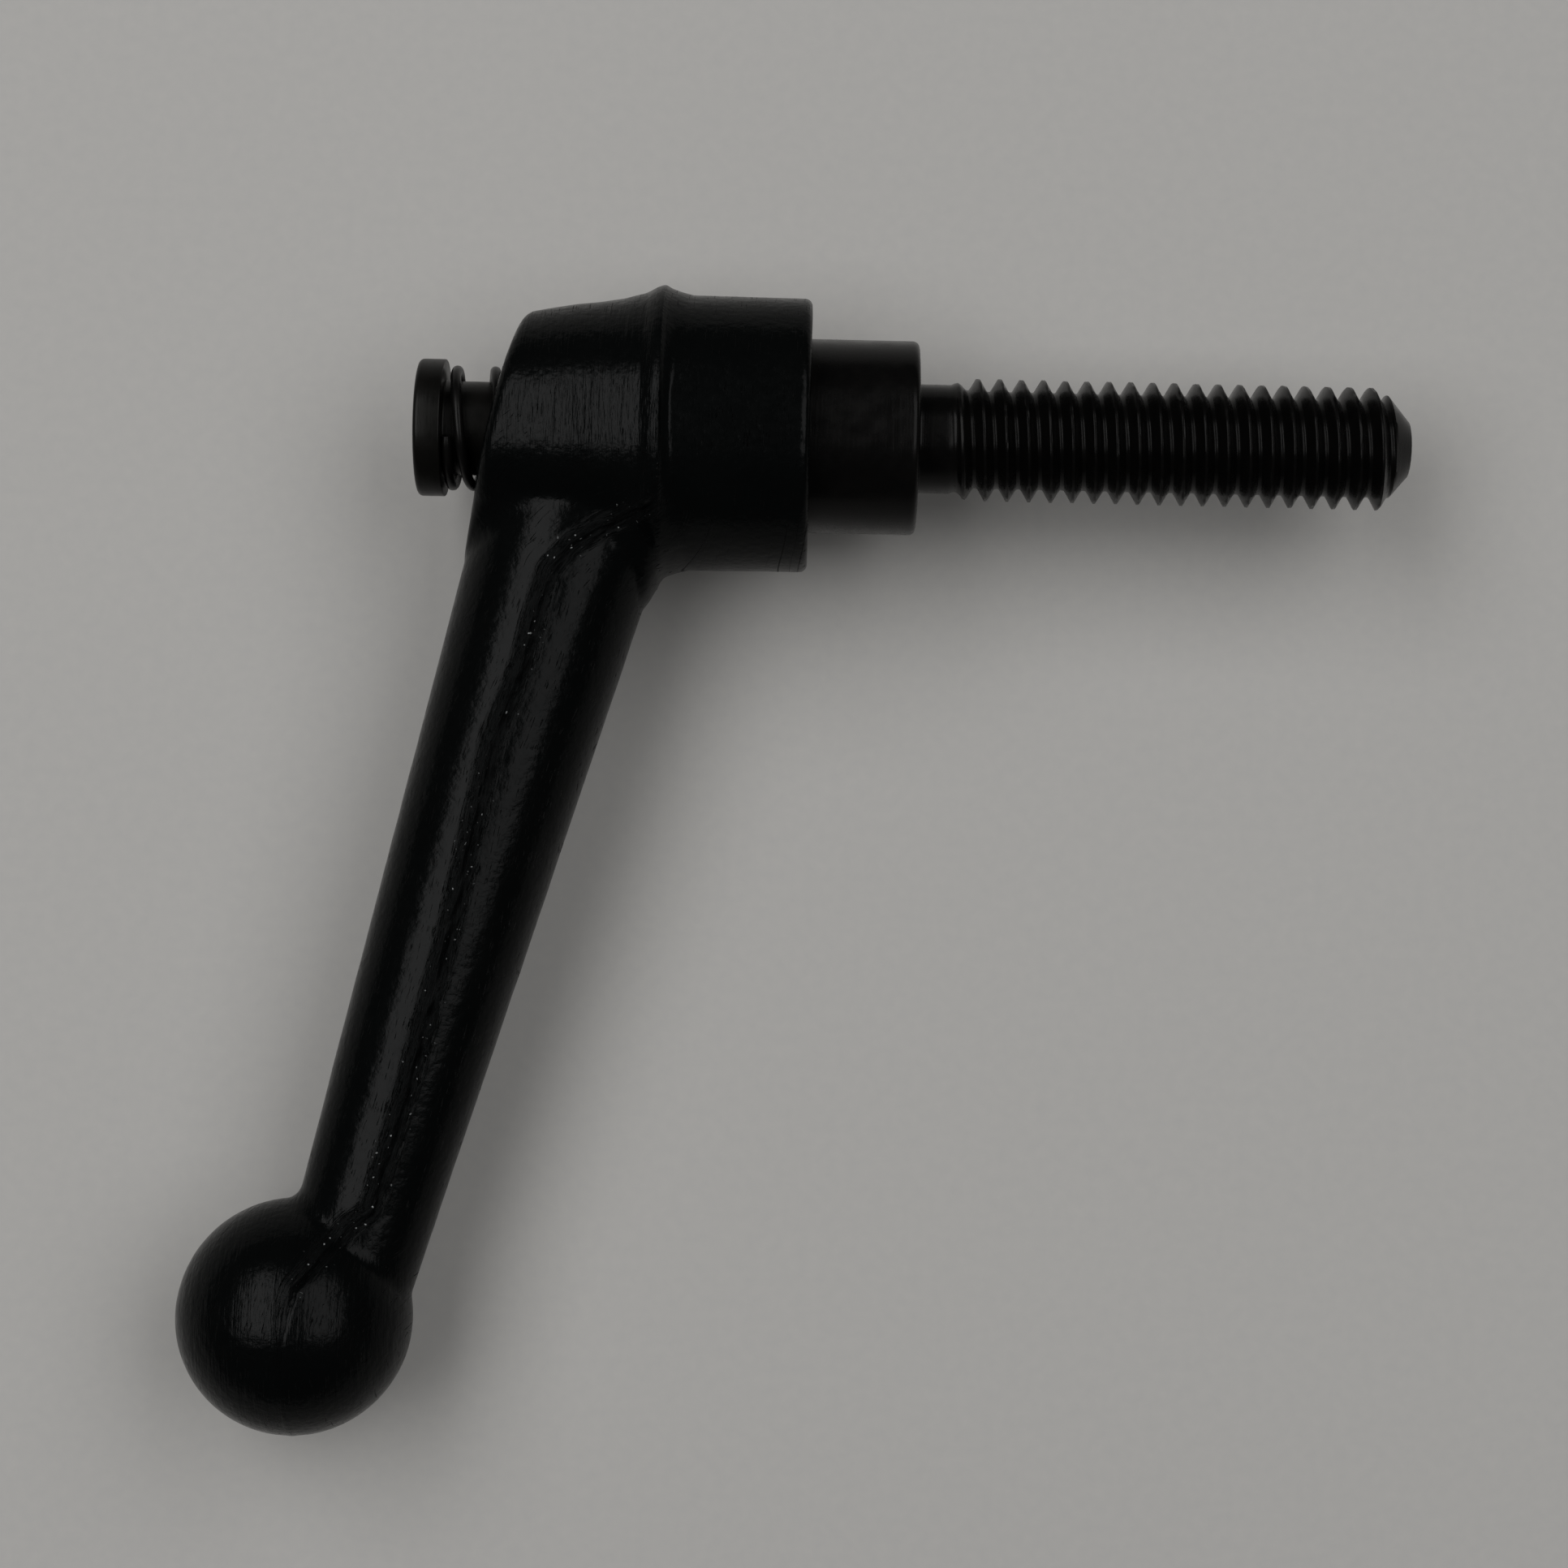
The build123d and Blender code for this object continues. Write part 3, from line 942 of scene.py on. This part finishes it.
# %% Powder coat: the filed band
BAND_OFF = 0.25
BAND_FULL, BAND_EDGE = 0.25, 1.15
SCRATCHES_PER_MM = (9.0, 0.7, 0.0)
filed = add(tree, "ShaderNodeAttribute", attribute_name="trimmed")
off = add(tree, "ShaderNodeMath", {0: split.outputs["X"], 1: BAND_OFF}, operation="ADD")
near = add(tree, "ShaderNodeMath", {0: off.outputs[0]}, operation="ABSOLUTE")
band = add(tree, "ShaderNodeMapRange", {
    "Value": near.outputs[0], "From Min": BAND_FULL, "From Max": BAND_EDGE,
    "To Min": 1.0, "To Max": 0.0}, interpolation_type="SMOOTHSTEP")
band = add(tree, "ShaderNodeMath", {
    0: band.outputs["Result"], 1: filed.outputs["Fac"]}, operation="MULTIPLY")
lane = add(tree, "ShaderNodeMapping", {
    "Vector": mark.outputs["Vector"], "Scale": SCRATCHES_PER_MM})
scratches = add(tree, "ShaderNodeTexNoise", {
    "Vector": lane.outputs["Vector"], "Scale": 1.0, "Detail": 4.0, "Roughness": 0.65})
trim = add(tree, "ShaderNodeMath", {
    0: scratches.outputs["Fac"], 1: band.outputs[0]}, operation="MULTIPLY")
raised = add(tree, "ShaderNodeMath", {
    0: band.outputs[0], 1: 0.24, 2: scratches.outputs["Fac"]}, operation="MULTIPLY_ADD")
torn = add(tree, "ShaderNodeMapRange", {
    "Value": raised.outputs[0], "From Min": 0.62, "From Max": 0.68})
print("powder coat, with the filed band:", len(tree.nodes), "nodes")

# %% [markdown]
# Four bumps build on one another, the softest first. Their depths are real ones, from a
# twentieth of a millimetre for the peel to a sixth where the metal was torn.

# %% Powder coat: bumps
BUMPS = [
    (peel.outputs["Fac"], 0.7, 0.050, False),
    (turned.outputs[0], 0.7, 0.090, False),
    (trim.outputs[0], 0.9, 0.16, False),
    (torn.outputs["Result"], 1.0, 0.15, True),
]
ripple = None
for height, strength, depth, inward in BUMPS:
    below = {} if ripple is None else {"Normal": ripple.outputs["Normal"]}
    ripple = add(tree, "ShaderNodeBump", {
        "Height": height, "Strength": strength, "Distance": depth * MM, **below}, invert=inward)
print("powder coat:", len(BUMPS), "bumps")

# %% [markdown]
# The coat is a polymer with an IOR near 1.5. Carbon black in it swallows nearly all light, and
# its mirror share is turned down until its glints stay as dark as the real ones. Where the metal
# was torn it is dull. Where the file went through, grains of bare zinc under 0.3 mm are painted
# pale grey into the colour: partly bare metal, partly a painted glint in place of their shine.

# %% Powder coat: colour and gloss
GLINT_GRAINS_PER_MM = 3.6
PATCHES_PER_MM = 0.25
TORN_ROUGHNESS = 0.5
glint_grains = add(tree, "ShaderNodeTexNoise", {"Vector": place, "Scale": GLINT_GRAINS_PER_MM, "Detail": 1.0})
glint_grain_share = add(tree, "ShaderNodeMapRange", {
    "Value": glint_grains.outputs["Fac"], "From Min": 0.73, "From Max": 0.78})
bare_zinc_glints = add(tree, "ShaderNodeMath", {
    0: glint_grain_share.outputs["Result"], 1: band.outputs[0]}, operation="MULTIPLY")
patches = add(tree, "ShaderNodeTexNoise", {
    "Vector": place, "Scale": PATCHES_PER_MM, "Detail": 3.0})
tone = add(tree, "ShaderNodeMix", {
    "Factor": patches.outputs["Fac"], 6: linear("#030404"), 7: linear("#060707")},
    data_type="RGBA")
# Painted glints: pale grey grains of bare zinc in the filed band, painted into the colour in place
# of their glints.
colour = add(tree, "ShaderNodeMix", {
    "Factor": bare_zinc_glints.outputs[0], 6: tone.outputs[2], 7: linear("#8C8E8E")}, data_type="RGBA")
dull = add(tree, "ShaderNodeMapRange", {
    "Value": peel.outputs["Fac"], "From Min": 0.3, "From Max": 0.7,
    "To Min": 0.17, "To Max": 0.25})
dull = add(tree, "ShaderNodeMix", {
    "Factor": torn.outputs["Result"], 2: dull.outputs["Result"], 3: TORN_ROUGHNESS})
shader = add(tree, "ShaderNodeBsdfPrincipled", {
    "Base Color": colour.outputs[2], "Roughness": dull.outputs[0], "IOR": 1.5,
    "Specular IOR Level": 0.06, "Normal": ripple.outputs["Normal"]})
add(tree, "ShaderNodeOutputMaterial", {"Surface": shader.outputs["BSDF"]})
lever.data.materials.clear()
lever.data.materials.append(coat)
print("powder coat:", len(tree.nodes), "nodes in all")

# %% [markdown]
# ### Black oxide on turned steel
# The bath turns the steel's own surface to magnetite, a micron thick: near black, a little
# metallic, and dull with oil in it. The turning tool's feed of about 0.1 mm leaves rings round
# the axis. That is too fine to show, so the rings are drawn about 0.25 mm apart.


# %% Oxide and wire finishes
def oxide(name, dark, light, metal, rough, rings_per_mm, ring_depth):
    """A dark oxide skin on steel, with the tool's rings round the X axis."""
    finish, tree, place = new_finish(name)
    lathe_marks = add(tree, "ShaderNodeMapping", {
        "Vector": place, "Scale": (rings_per_mm, 0.2, 0.2)})
    marks = add(tree, "ShaderNodeTexNoise", {
        "Vector": lathe_marks.outputs["Vector"], "Scale": 1.0, "Detail": 3.0, "Roughness": 0.6})
    blotch = add(tree, "ShaderNodeTexNoise", {"Vector": place, "Scale": 0.8, "Detail": 4.0})
    grit = add(tree, "ShaderNodeTexNoise", {"Vector": place, "Scale": 7.0, "Detail": 2.0})
    tone = add(tree, "ShaderNodeMix", {
        "Factor": blotch.outputs["Fac"], 6: linear(dark), 7: linear(light)}, data_type="RGBA")
    dull = add(tree, "ShaderNodeMapRange", {
        "Value": blotch.outputs["Fac"], "From Min": 0.3, "From Max": 0.7,
        "To Min": rough - 0.06, "To Max": rough + 0.06})
    bump = add(tree, "ShaderNodeBump", {
        "Height": marks.outputs["Fac"], "Strength": 0.6, "Distance": ring_depth * MM})
    bump = add(tree, "ShaderNodeBump", {
        "Height": grit.outputs["Fac"], "Strength": 0.35, "Distance": 0.012 * MM,
        "Normal": bump.outputs["Normal"]})
    shader = add(tree, "ShaderNodeBsdfPrincipled", {
        "Base Color": tone.outputs[2], "Metallic": metal, "Roughness": dull.outputs["Result"],
        "Specular IOR Level": 0.14, "Normal": bump.outputs["Normal"]})
    add(tree, "ShaderNodeOutputMaterial", {"Surface": shader.outputs["BSDF"]})
    return finish


stud.data.materials.append(
    oxide("black oxide on rolled steel", "#080808", "#0E0D0C", 0.5, 0.27, 4.0, 0.02))
screw.data.materials.append(
    oxide("black oxide on turned steel", "#0A0A09", "#11100E", 0.4, 0.34, 4.0, 0.02))
spring.data.materials.append(
    oxide("oiled black spring wire", "#0C0C0C", "#141312", 0.4, 0.30, 0.3, 0.004))
for piece in (lever, stud, screw, spring):
    print(piece.name, "has", piece.data.materials[0].name)

# %% [markdown]
# ## The floor
# The part lies on plain grey paper. Light from the panels falls off far away, so there the paper
# fades to an even tone of its own, which only camera and glossy rays see. From low down the
# floor then runs on into the backdrop without a dark edge.

# %% Floor
FLOOR_HALF = 6000
NEAR_FLOOR, FAR_FLOOR = 110, 420
FLOOR_CELLS = 8
floor_mesh = bpy.data.meshes.new("floor")
bm = bmesh.new()
bmesh.ops.create_grid(bm, x_segments=FLOOR_CELLS, y_segments=FLOOR_CELLS, size=FLOOR_HALF * MM)
bm.to_mesh(floor_mesh)
bm.free()
floor = bpy.data.objects.new("floor", floor_mesh)
floor.location = (0, 0, cad_low.z)
bpy.context.scene.collection.objects.link(floor)
paper, tree, place = new_finish("plain grey paper")
fibre = add(tree, "ShaderNodeTexNoise", {"Vector": place, "Scale": 1.2, "Detail": 4.0})
tone = add(tree, "ShaderNodeMix", {
    "Factor": fibre.outputs["Fac"], 6: linear("#A1A09E"), 7: linear("#A8A6A3")}, data_type="RGBA")
shader = add(tree, "ShaderNodeBsdfPrincipled", {
    "Base Color": tone.outputs[2], "Roughness": 0.95, "Specular IOR Level": 0.1})
reach = add(tree, "ShaderNodeVectorMath", {0: place}, operation="LENGTH")
far = add(tree, "ShaderNodeMapRange", {
    "Value": reach.outputs["Value"], "From Min": NEAR_FLOOR, "From Max": FAR_FLOOR},
    interpolation_type="SMOOTHSTEP")
ray = add(tree, "ShaderNodeLightPath")
looked_at = add(tree, "ShaderNodeMath", {
    0: ray.outputs["Is Camera Ray"], 1: ray.outputs["Is Glossy Ray"]}, operation="MAXIMUM")
share = add(tree, "ShaderNodeMath", {
    0: far.outputs["Result"], 1: looked_at.outputs[0]}, operation="MULTIPLY")
even = add(tree, "ShaderNodeEmission", {"Color": linear("#A3A29F"), "Strength": 1.0})
surface = add(tree, "ShaderNodeMixShader", {
    0: share.outputs[0], 1: shader.outputs["BSDF"], 2: even.outputs[0]})
add(tree, "ShaderNodeOutputMaterial", {"Surface": surface.outputs[0]})
floor_mesh.materials.append(paper)
print("floor at Z", round(FLOOR, 2), "mm")

# %% [markdown]
# ## Light
# Two soft panels hang left and right above the part with a dark gap between them, which gives a
# black object its pair of long soft glints. Each is set by the angles that it spans, seen from
# the part. The world is dim, so that the coat stays black, and only the camera sees it pale.

# %% Soft panels and world
PANEL_HEIGHT = 600
PANELS = {"left": (-46, -14, 1.15), "right": (15, 48, 0.8)}
PANEL_Y = (-23, 45)
PANEL_POWER = 4.1
ROOM_LIGHT = 0.06
middle = (cad_low + cad_high) / 2
for name, (inner, outer, share) in PANELS.items():
    x0, x1 = (PANEL_HEIGHT * MM * math.tan(math.radians(a)) for a in (inner, outer))
    y0, y1 = (PANEL_HEIGHT * MM * math.tan(math.radians(a)) for a in PANEL_Y)
    lamp = bpy.data.lights.new("panel_" + name, "AREA")
    lamp.shape = "RECTANGLE"
    lamp.size, lamp.size_y = x1 - x0, y1 - y0
    lamp.energy = PANEL_POWER * share
    panel = bpy.data.objects.new("panel_" + name, lamp)
    panel.location = (middle.x + (x0 + x1) / 2, middle.y + (y0 + y1) / 2, PANEL_HEIGHT * MM)
    panel.visible_camera = False
    bpy.context.scene.collection.objects.link(panel)
    print("panel", name, round(lamp.size, 2), "by", round(lamp.size_y, 2), "m")

world = bpy.data.worlds.new("dim studio")
bpy.context.scene.world = world
world.use_nodes = True
tree = world.node_tree
tree.nodes.clear()
ray = add(tree, "ShaderNodeLightPath")
room = add(tree, "ShaderNodeBackground", {"Color": linear("#FFFFFF"), "Strength": ROOM_LIGHT})
backdrop = add(tree, "ShaderNodeBackground", {"Color": linear("#A4A3A0"), "Strength": 1.0})
seen = add(tree, "ShaderNodeMixShader", {
    0: ray.outputs["Is Camera Ray"], 1: room.outputs[0], 2: backdrop.outputs[0]})
add(tree, "ShaderNodeOutputWorld", {"Surface": seen.outputs[0]})

# %% [markdown]
# ## Camera
# It looks nearly straight down, a little from the arm's side, so that the ridge, the arm's line
# and the whole thread show. A long lens from 0.2 m keeps the stud's ends nearly the same size.

# %% Camera
CAMERA_AT = Vector((-7.58, -42.48, 207.34)) * MM
AIM = Vector((-8.11, -21.77, FLOOR)) * MM
UPWARD = Vector((-0.02351, 0.99972, 0))
LENS = 74.53
SENSOR = 36
NEAREST = 0.01
camera_data = bpy.data.cameras.new("camera")
camera_data.lens = LENS
camera_data.sensor_width = SENSOR
camera_data.clip_start = NEAREST
camera = bpy.data.objects.new("camera", camera_data)
bpy.context.scene.collection.objects.link(camera)
forward = (AIM - CAMERA_AT).normalized()
right = forward.cross(UPWARD).normalized()
up = right.cross(forward)
turn = Matrix((right, up, -forward)).transposed()
camera.matrix_world = Matrix.Translation(CAMERA_AT) @ turn.to_4x4()
bpy.context.scene.camera = camera
bpy.context.scene.view_settings.view_transform = "Standard"
print("camera", round((AIM - CAMERA_AT).length, 3), "m from its aim")

# %% [markdown]
# ## Sizes, and the end
# Blender must not change the part's size, so the CAD box is printed once more.

# %% Finish
print("CAD box   ", [round(v / MM, 3) for v in (*cad_low, *cad_high)])
